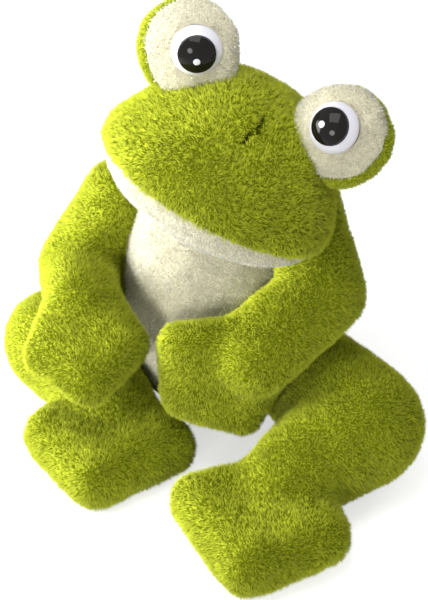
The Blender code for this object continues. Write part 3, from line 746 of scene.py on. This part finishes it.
def strands(name, roots, normals, pile, material, rng):
    """The pile on a skin: a slim pointed strand on each root, drawn together in tufts."""
    count = len(roots)
    size = pile["tuft"]
    waver = np.sin(roots[:, [1, 2, 0]] / size * EDGE_WAVE)
    cells = np.floor(roots / size + EDGE_WAVER_SHARE * waver)
    jitter = np.stack([hashed(cells, salt) for salt in (1, 2, 3)], axis=1)
    middle = (cells + MIDDLE_MARGIN_SHARE + (1 - 2 * MIDDLE_MARGIN_SHARE) * jitter) * size
    toss = np.stack([hashed(cells, salt) for salt in (4, 5, 6)], axis=1) * 2 - 1
    lie = flow(roots) + TOSS * toss
    lie -= (lie * normals).sum(1, keepdims=True) * normals
    way = unit(normals + pile["lean"] * unit(lie) + pile["stray"] * rng.normal(size=(count, 3)))
    shares = LEAST_LENGTH_SHARE + TUFT_LENGTH_SHARE * hashed(cells, 7)
    length = pile["length"] * (shares + CHANCE_LENGTH_SHARE * rng.random(count))
    draw = middle - roots
    draw -= (draw * normals).sum(1, keepdims=True) * normals
    tips = roots + way * length[:, None] + GATHER_SHARE * draw
    tips[:, 2] = np.maximum(tips[:, 2], TIP_LIFT)
    side = unit(np.cross(tips - roots, normals + TWIST * rng.normal(size=(count, 3))))
    under = unit(np.cross(tips - roots, side))
    base = roots - normals * ROOT_SINK
    half_side = side * pile["width"] / 2
    corners = (base - half_side, base + half_side, base + under * pile["width"] / FLATNESS)
    mesh = slivers(name, np.stack([*corners, tips], axis=1).reshape(-1, 3))
    chance = (1 - TUFT_TONE_SHARE) * rng.random(count)
    carried(mesh, "tone_and_shade", np.repeat(TUFT_TONE_SHARE * hashed(cells, 8) + chance, 4))
    mesh.materials.append(material)
    mesh.shade_smooth()
    made = linked(name, mesh)
    return made


def panel_half_width(lift):
    """The belly panel's half width at a height, from its shares."""
    heights = np.array(PANEL_HEIGHT_SHARES) * NECK_LIFT
    widths = np.array(PANEL_WIDTH_SHARES) * PANEL_HALF_WIDTH
    return np.interp(lift, heights, widths)


def on_panel(points):
    """Which points of the body lie on the belly panel."""
    lean = -math.tan(math.radians(BODY_LEAN)) * points[:, 2]
    return (np.abs(points[:, 0] - lean) < panel_half_width(points[:, 2])) & (
        points[:, 1] < -PANEL_BACK
    )


def panel_block(inset):
    """The belly panel's outline, run out of the front of the body."""
    heights = [share * NECK_LIFT for share in PANEL_HEIGHT_SHARES]
    ring = []
    for way in (-1, 1):
        stretch = heights if way < 0 else reversed(heights)
        for lift in stretch:
            width = float(panel_half_width(lift)) - inset
            middle = -math.tan(math.radians(BODY_LEAN)) * lift
            ring.append(Vector((middle + way * width, -PANEL_BACK - inset, lift)))
    bm = bmesh.new()
    face = bm.faces.new([bm.verts.new(p) for p in ring])
    run = bmesh.ops.extrude_face_region(bm, geom=[face])
    points = [g for g in run["geom"] if isinstance(g, bmesh.types.BMVert)]
    bmesh.ops.translate(bm, verts=points, vec=(0, -BLOCK_SIZE, 0))
    bmesh.ops.recalc_face_normals(bm, faces=bm.faces)
    return to_mesh(bm, "panel")


def heading(out, degrees):
    """A level direction, turned from straight ahead toward one side by an angle."""
    angle = math.radians(degrees)
    return Vector((out * math.sin(angle), -math.cos(angle), 0))


def facing(across, along):
    """A turn that brings +X to across and +Y to along."""
    return Matrix((across, along, across.cross(along))).transposed()


def body_skin():
    """The torso from the seat to the neck, as one skin."""
    seat = (body_middle(SEAT_SIZE[2] / 2), half(SEAT_SIZE))
    belly = (body_middle(BELLY_LIFT), half(BELLY_SIZE))
    chest = (body_middle(CHEST_LIFT), half(CHEST_SIZE))
    neck = round_ball(JOINTS["neck"], NECK_RADIUS)
    mesh = form("body", [[seat, belly], [belly, chest], [chest, neck]])
    return seated(sunk(mesh, GREEN_SINK, LUMP_DEPTH))


def parting(points):
    """How near points in the head's frame lie to a parting of the snout's pile, from 0 to 1."""
    near = np.zeros(len(points))
    for first, last in PARTINGS:
        first, last = np.array(first), np.array(last)
        run = last - first
        flat = points[:, [0, 2]]
        along = np.clip((flat - first) @ run / (run @ run), 0, 1)
        far = np.linalg.norm(flat - first - along[:, None] * run, axis=1)
        near = np.maximum(near, np.exp(-((far / PARTING_WIDTH) ** 2)) * (points[:, 1] < 0))
    return near


def head_skin():
    """The head with its mouth groove and partings, as one skin, with painted shade on the cloth in
    the partings.
    """
    balls = [(Vector(centre), radii) for centre, radii in (MUZZLE, SKULL, CHIN)]
    mesh = sunk(form("head", [balls]), GREEN_SINK, LUMP_DEPTH)
    points = points_of(mesh)
    near = np.exp(-(((points[:, 2] + JAW_DROP) / MOUTH_WIDTH) ** 2))
    parted = parting(points)
    deep = MOUTH_GROOVE * near + PARTING_DEPTH * parted
    points -= normals_of(mesh) * deep[:, None]
    place_points(mesh, points)
    # Painted shade: the cloth in the partings is darkened through the tone that the material reads
    carried(mesh, "tone_and_shade", PARTING_PAINTED_SHADE * parted)
    mesh.transform(HEAD)
    return mesh


def leg_skin(side):
    """One leg from the hip to the toes, as one skin."""
    limb = LIMBS[side]
    out = limb["side"]
    hip, knee = JOINTS[f"hip_{side}"], JOINTS[f"knee_{side}"]
    foot_way = heading(out, limb["foot"])
    radius = KNEE_RADIUS * limb["knee_share"]
    ankle = knee + heading(out, limb["shin"]) * SHIN_LENGTH * limb["shin_share"]
    ankle.z = ANKLE_RADIUS
    heel = ankle.copy()
    heel.z = FOOT_THICKNESS / 2
    across = Vector((-foot_way.y, foot_way.x, 0))
    flat = facing(across, foot_way)
    radii = (TOE_RADIUS, TOE_RADIUS, FOOT_THICKNESS / 2)
    reach = foot_way * FOOT_REACH * limb["foot_share"]
    toes = [(heel + reach, radii, flat)]
    for way, share in zip((-out, out), limb["toe_shares"]):
        toes.append((heel + reach * SIDE_TOE_SHARE + across * way * FOOT_SPREAD * share, radii, flat))
    foot = [(heel, (ANKLE_RADIUS, ANKLE_RADIUS, FOOT_THICKNESS / 2), flat), *toes]
    thigh = [round_ball(hip, HIP_RADIUS - SEAT_ROOM), round_ball(knee, radius)]
    shin = [round_ball(knee, radius), round_ball(ankle, ANKLE_RADIUS)]
    mesh = form(f"leg_{side}", [thigh, shin, foot])
    return seated(sunk(mesh, GREEN_SINK, LUMP_DEPTH))


def arm_skin(side):
    """One arm from the shoulder to the fingertips, as one skin."""
    limb = LIMBS[side]
    shoulder, elbow = JOINTS[f"shoulder_{side}"], JOINTS[f"elbow_{side}"]
    wrist = elbow + Vector(limb["forearm"]).normalized() * FOREARM_LENGTH * limb["forearm_share"]
    way = Vector(limb["hand"]).normalized()
    across = Vector(limb["palm_across"])
    across = (across - way * across.dot(way)).normalized()
    flat = facing(across, way)
    reach = way * HAND_REACH * limb["hand_share"]
    spread = across * HAND_SPREAD * limb["finger_share"]
    radii = (FINGER_RADIUS, FINGER_RADIUS, HAND_THICKNESS / 2)
    fingers = [(wrist + reach, radii, flat)]
    for sideways in (-spread, spread):
        fingers.append((wrist + reach * SIDE_FINGER_SHARE + sideways, radii, flat))
    broad = WRIST_RADIUS * limb["wrist_share"]
    palm = (wrist, (broad, broad, HAND_THICKNESS / 2), flat)
    upper = [round_ball(shoulder, SHOULDER_RADIUS - SEAT_ROOM), round_ball(elbow, ELBOW_RADIUS)]
    fore = [round_ball(elbow, ELBOW_RADIUS), round_ball(wrist, broad)]
    return sunk(form(f"arm_{side}", [upper, fore, [palm, *fingers]]), GREEN_SINK, LUMP_DEPTH)


def mound_skin(side):
    """One eye mound with its foot in the head, as one skin."""
    out = EYES[side]["side"]
    x, y, z = MOUND_MIDDLE
    middle = Vector((out * x, y, z))
    foot = middle - Vector((out * MOUND_FOOT_INWARD, 0, MOUND_FOOT_DROP))
    mesh = form(f"mound_{side}", [[(middle, MOUND_RADII), round_ball(foot, MOUND_FOOT_RADIUS)]])
    mesh.transform(HEAD)
    return sunk(mesh, CREAM_SINK, LUMP_DEPTH)


def dome_profile(radius, rise, base, inner=0.0, steps=DOME_STEPS):
    """A shallow dome on a short cylinder, from an inner radius out and down to its foot."""
    sphere = (radius * radius + rise * rise) / (2 * rise)
    first, last = math.asin(inner / sphere), math.asin(radius / sphere)
    points = []
    for i in range(steps + 1):
        angle = first + (last - first) * i / steps
        points.append((sphere * math.sin(angle), base + rise - sphere * (1 - math.cos(angle))))
    points.append((radius, 0))
    return points


def turned(profile, place):
    """A solid turned about its own +Z from (radius, height) points, top to bottom."""
    mesh = bpy.data.meshes.new("turned")
    mesh.from_pydata(
        [(radius, 0, height) for radius, height in profile],
        [(i, i + 1) for i in range(len(profile) - 1)],
        [],
    )
    made = linked("turned", mesh)
    screw = made.modifiers.new("turn", "SCREW")
    screw.steps = TURNED_STEPS
    screw.render_steps = TURNED_STEPS
    screw.use_merge_vertices = True
    screw.merge_threshold = MERGE_DISTANCE
    mesh = evaluated(made)
    bm = bmesh.new()
    bm.from_mesh(mesh)
    bmesh.ops.remove_doubles(bm, verts=bm.verts, dist=MERGE_DISTANCE)
    bmesh.ops.recalc_face_normals(bm, faces=bm.faces)
    bm.to_mesh(mesh)
    bm.free()
    mesh.transform(place)
    return mesh


def eye_place(side):
    """The matrix of an eye's foot, with +Z out of the eye."""
    own = EYES[side]
    out = own["side"]
    x, y, z = MOUND_MIDDLE
    seat = Vector((out * (x - own["inward"]), y + EYE_SINK - MOUND_RADII[1], z + own["lift"]))
    look = Matrix.Rotation(-out * math.radians(EYE_TURN), 4, "Z")
    look @= Matrix.Rotation(math.radians(own["tip"]), 4, "X")
    return HEAD @ Matrix.Translation(seat) @ look


def eye(side):
    """The white dome on its shank, the pupil in it and the printed catchlight."""
    place = eye_place(side)
    well = EYE_BASE + EYE_RISE - PUPIL_SEAT
    dome = [
        (0, well - SEAM_GAP),
        (PUPIL_RADIUS + SEAM_GAP, well - SEAM_GAP),
        *dome_profile(EYE_RADIUS, EYE_RISE, EYE_BASE, PUPIL_RADIUS + SEAM_GAP),
        (SHANK_RADIUS, 0),
        (SHANK_RADIUS, -SHANK_LENGTH),
        (0, -SHANK_LENGTH),
    ]
    white = dressed(turned(dome, place), f"eye_dome_{side}", WHITE)
    lifted = place @ Matrix.Translation((0, 0, well))
    profile = [*dome_profile(PUPIL_RADIUS, PUPIL_RISE, PUPIL_BASE), (0, 0)]
    pupil = dressed(turned(profile, lifted), f"pupil_dome_{side}", BLACK)
    across, up = EYES[side]["dot"]
    sphere = (PUPIL_RADIUS**2 + PUPIL_RISE**2) / (2 * PUPIL_RISE)
    tilt = math.asin(math.hypot(across, up) / sphere)
    axis = Vector((-up, across, 0)).normalized()
    centre = Matrix.Translation((0, 0, PUPIL_BASE + PUPIL_RISE - sphere))
    spot = lifted @ centre @ Matrix.Rotation(tilt, 4, axis) @ Matrix.Translation((0, 0, sphere))
    lens = dome_profile(DOT_RADIUS, DOT_RISE, 0, steps=DOT_STEPS)[:-1]
    lens += [(DOT_RADIUS, -DOT_RISE), (0, -DOT_RISE)]
    dot = dressed(turned(lens, spot), f"catchlight_{side}", DOT)
    for piece in (white, pupil, dot):
        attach(piece, "head")
    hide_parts(f"eye_white_{side}")
    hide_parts(f"pupil_{side}")


def stuffing(node, body):
    """The fibre inside a skin, lumpy and a little smaller than its frame solid."""
    mesh = one_skin(frame["nodes"][node].data.copy(), FILL_VOXEL, FILL_BLEND_STEPS)
    points, normals = points_of(mesh), normals_of(mesh)
    uneven = np.sin(points / FILL_WIDE_SCALE).sum(1)
    uneven += np.sin(points[:, [1, 2, 0]] / FILL_FINE_SCALE).sum(1)
    points -= normals * (FILL_SINK + FILL_LUMP_DEPTH * uneven)[:, None]
    place_points(mesh, points)
    piece = dressed(mesh, node.replace("stuffing", "fibre_fill"), FIBRE)
    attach(piece, body)
    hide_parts(node)


def main():
    """All the skins first, since each hides parts of the others, and then the pieces on them."""
    rng = np.random.default_rng(SEED)
    body, head = body_skin(), head_skin()
    legs = {side: leg_skin(side) for side in LIMBS}
    arms = {side: arm_skin(side) for side in LIMBS}
    mounds = {side: mound_skin(side) for side in EYES}
    skins = {"body": body, "head": head}
    for side in LIMBS:
        skins[f"leg_{side}"], skins[f"arm_{side}"] = legs[side], arms[side]
        skins[f"mound_{side}"] = mounds[side]
    blocks = {name: blocker(mesh) for name, mesh in skins.items()}
    torso(body, blocks, rng)
    head_pieces(head, blocks, rng)
    for side in LIMBS:
        leg(side, legs[side], blocks, rng)
        arm(side, arms[side], blocks, rng)
        mound(side, mounds[side], head, blocks, rng)
        eye(side)
        frame["nodes"][f"lock_washer_{side}"].material_slots[0].material = NYLON
    stuffing("torso_stuffing", "torso")
    stuffing("head_stuffing", "head")


def without(blocks, own):
    """The blockers of all skins but one."""
    return [found for name, found in blocks.items() if name != own]


def grown_pile(name, mesh, pile, material, blocks, rng, keep=None):
    """Strands over the part of a skin that shows, in as many pieces as their number asks."""
    shown = ~hidden(points_of(mesh), blocks)
    roots, normals = scattered(mesh, pile["density"], shown, rng)
    if keep is not None:
        wanted = keep(roots)
        roots, normals = roots[wanted], normals[wanted]
    layers = math.ceil(len(roots) / MOST_STRANDS)
    return [
        strands(f"{name}_{k + 1}", roots[k::layers], normals[k::layers], pile, material, rng)
        for k in range(layers)
    ]


def hollow(body, part):
    """A part of the body as a skin of cloth, with seats for the arms and legs."""
    tools = [(sunk(body.copy(), CLOTH), "DIFFERENCE")]
    for side in LIMBS:
        for name, radius in (("shoulder", SHOULDER_RADIUS), ("hip", HIP_RADIUS)):
            seat = ball_mesh(JOINTS[f"{name}_{side}"], radius - GREEN_SINK - SEAT_ROOM)
            tools.append((seat, "DIFFERENCE"))
    return combined(part, *tools)


def torso(body, blocks, rng):
    """The back and the belly panel, each a cloth with its pile."""
    back = hollow(body, combined(body, (panel_block(0), "DIFFERENCE")))
    front = hollow(body, combined(body, (panel_block(SEAM_GAP), "INTERSECT")))
    back = dressed(back, "torso_back_cloth", GREEN)
    front = dressed(front, "belly_cloth", CREAM)
    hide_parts("torso_back")
    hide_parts("belly_panel")
    others = without(blocks, "body")
    back_pile = grown_pile(
        "torso_back_pile", body, LIMB_PILE, GREEN, others, rng,
        lambda roots: ~on_panel(roots),
    )
    front_pile = grown_pile(
        "belly_pile", body, SHORT_PILE, CREAM, others, rng, on_panel
    )
    for piece in (back, front, *back_pile, *front_pile):
        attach(piece, "torso")


def head_pieces(head, blocks, rng):
    """The upper head and the jaw, each a cloth with its pile."""
    inner = sunk(head.copy(), CLOTH)
    cup = ball_mesh(JOINTS["neck"], NECK_RADIUS + SEAT_ROOM)
    shell = combined(head, (inner, "DIFFERENCE"), (cup, "DIFFERENCE"))
    up = HEAD.to_3x3() @ Vector((0, 0, 1))
    mouth = HEAD @ Vector((0, 0, -JAW_DROP))
    upper = combined(shell, (half_space(mouth + up * SEAM_GAP / 2, up), "DIFFERENCE"))
    jaw = combined(shell, (half_space(mouth - up * SEAM_GAP / 2, -up), "DIFFERENCE"))
    upper = dressed(upper, "head_cloth", GREEN)
    jaw = dressed(jaw, "jaw_cloth", CREAM)
    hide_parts("head_upper")
    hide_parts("jaw")
    others = without(blocks, "head")

    def above(roots):
        return in_head_frame(roots)[:, 2] > -JAW_DROP

    upper_pile = grown_pile(
        "head_pile", head, LONG_PILE, GREEN, others, rng,
        lambda roots: above(roots) & (parting(in_head_frame(roots)) < PARTING_EDGE_SHARE),
    )
    jaw_pile = grown_pile(
        "jaw_pile", head, SHORT_PILE, CREAM, others, rng,
        lambda roots: ~above(roots),
    )
    for piece in (upper, jaw, *upper_pile, *jaw_pile):
        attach(piece, "head")


def bent(piece):
    """Bakes a limb piece's placement into its mesh."""
    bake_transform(piece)


def leg(side, mesh, blocks, rng):
    """One leg: its cloth and pile."""
    others = without(blocks, f"leg_{side}")
    pile = grown_pile(f"leg_pile_{side}", mesh, LIMB_PILE, GREEN, others, rng)
    cloth = dressed(mesh, f"leg_cloth_{side}", GREEN)
    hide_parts(f"thigh_{side}", f"shin_{side}")
    for piece in (cloth, *pile):
        bent(
            piece,
        )


def arm(side, mesh, blocks, rng):
    """One arm: its cloth and pile."""
    others = without(blocks, f"arm_{side}")
    pile = grown_pile(f"arm_pile_{side}", mesh, LIMB_PILE, GREEN, others, rng)
    cloth = dressed(mesh, f"arm_cloth_{side}", GREEN)
    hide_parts(f"upper_arm_{side}", f"forearm_{side}")
    for piece in (cloth, *pile):
        bent(piece)


def mound(side, mesh, head, blocks, rng):
    """One eye mound: its cream face and its green rim, each a form with its pile."""
    out = EYES[side]["side"]
    x, y, z = MOUND_MIDDLE
    turn = Matrix.Rotation(-out * math.radians(RIM_TURN), 3, "Z")
    turn @= Matrix.Rotation(-math.radians(RIM_TIP), 3, "X")
    forward = HEAD.to_3x3() @ turn @ Vector((0, -1, 0))
    split = HEAD @ Vector((out * x, y - RIM_FORWARD, z))
    place = eye_place(side)
    room = ball_mesh(place.translation, EYE_RADIUS - EYE_EDGE)
    cut = combined(mesh, (head.copy(), "DIFFERENCE"), (room, "DIFFERENCE"))
    front = combined(cut, (half_space(split + forward * SEAM_GAP / 2, forward), "DIFFERENCE"))
    back = combined(cut, (half_space(split - forward * SEAM_GAP / 2, -forward), "DIFFERENCE"))
    front = dressed(front, f"eye_mound_face_{side}", CREAM)
    back = dressed(back, f"eye_mound_rim_{side}", GREEN)
    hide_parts(f"eye_mound_front_{side}")
    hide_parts(f"eye_mound_back_{side}")
    others = without(blocks, f"mound_{side}")
    centre = np.array(place.translation)

    def ahead(roots):
        return (roots - np.array(split)) @ np.array(forward) > 0

    def clear_of_eye(roots):
        return np.linalg.norm(roots - centre, axis=1) > EYE_RADIUS + EYE_EDGE

    front_pile = grown_pile(
        f"eye_mound_face_pile_{side}", mesh, SHORT_PILE, CREAM, others, rng,
        lambda roots: ahead(roots) & clear_of_eye(roots),
    )
    back_pile = grown_pile(
        f"eye_mound_rim_pile_{side}", mesh, SHORT_PILE, GREEN, others, rng,
        lambda roots: ~ahead(roots),
    )
    for piece in (front, back, *front_pile, *back_pile):
        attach(piece, "head")


def direction(azimuth, elevation):
    """The way out of the frog at an azimuth, from its front toward its left, and an elevation."""
    a, e = math.radians(azimuth), math.radians(elevation)
    return Vector((math.sin(a) * math.cos(e), -math.cos(a) * math.cos(e), math.sin(e)))


def camera():
    """The camera at the photograph's angle."""
    made = linked("camera", bpy.data.cameras.new("camera"))
    back = direction(CAMERA_AZIMUTH, CAMERA_ELEVATION)
    made.location = CAMERA_TARGET + back * CAMERA_DISTANCE
    made.rotation_euler = back.to_track_quat("Z", "Y").to_euler()
    made.data.lens = CAMERA_LENS
    bpy.context.scene.camera = made


def seen_directly(nodes, links):
    """1 for the camera's, glossy and transmission rays, and 0 for the rest."""
    path = nodes.new("ShaderNodeLightPath")
    total = path.outputs["Is Camera Ray"]
    for ray in ("Is Glossy Ray", "Is Transmission Ray"):
        total = worked_out(nodes, links, "MAXIMUM", total, path.outputs[ray])
    return total


def ground():
    """The pale floor, which keeps the frog's shadow and is lifted to white where it is seen."""
    bm = bmesh.new()
    bmesh.ops.create_grid(bm, x_segments=1, y_segments=1, size=FLOOR_HALF_SIZE)
    floor = linked("floor", to_mesh(bm, "floor"))
    paint = bpy.data.materials.new("floor_white")
    shader, nodes, links = tree(paint)
    shader.inputs["Base Color"].default_value = (*FLOOR_COLOUR, 1)
    shader.inputs["Roughness"].default_value = FLOOR_ROUGHNESS
    shader.inputs["Emission Color"].default_value = (1, 1, 1, 1)
    glow = ranged(nodes, links, seen_directly(nodes, links), 0, FLOOR_GLOW)
    links.new(glow, shader.inputs["Emission Strength"])
    floor.data.materials.append(paint)


def sky():
    """The white world, which lights the frog less than it shows."""
    world = bpy.data.worlds.new("sky")
    bpy.context.scene.world = world
    world.use_nodes = True
    nodes, links = world.node_tree.nodes, world.node_tree.links
    strength = ranged(nodes, links, seen_directly(nodes, links), SKY_STRENGTH, 1.0)
    nodes["Background"].inputs["Color"].default_value = (1, 1, 1, 1)
    links.new(strength, nodes["Background"].inputs["Strength"])


def lamp(name, kind, azimuth, elevation, power):
    """A lamp that shines at the frog from a direction, and that direction."""
    made = linked(name, bpy.data.lights.new(name, kind))
    way = direction(azimuth, elevation)
    made.rotation_euler = way.to_track_quat("Z", "Y").to_euler()
    made.data.energy = power
    return made, way


def studio():
    """The floor, the sky, a soft box at the frog's right and one above, and a broad front light."""
    ground()
    sky()
    for name, box in SOFTBOXES.items():
        soft, way = lamp(name, "AREA", box["azimuth"], box["elevation"], box["power"])
        soft.location = CAMERA_TARGET + way * box["distance"]
        soft.data.size = box["size"]
    front, _ = lamp("front", "SUN", FRONT_AZIMUTH, FRONT_ELEVATION, FRONT_STRENGTH)
    front.data.angle = math.radians(FRONT_ANGLE)
    bpy.context.scene.view_settings.view_transform = "Standard"


camera()
studio()
main()
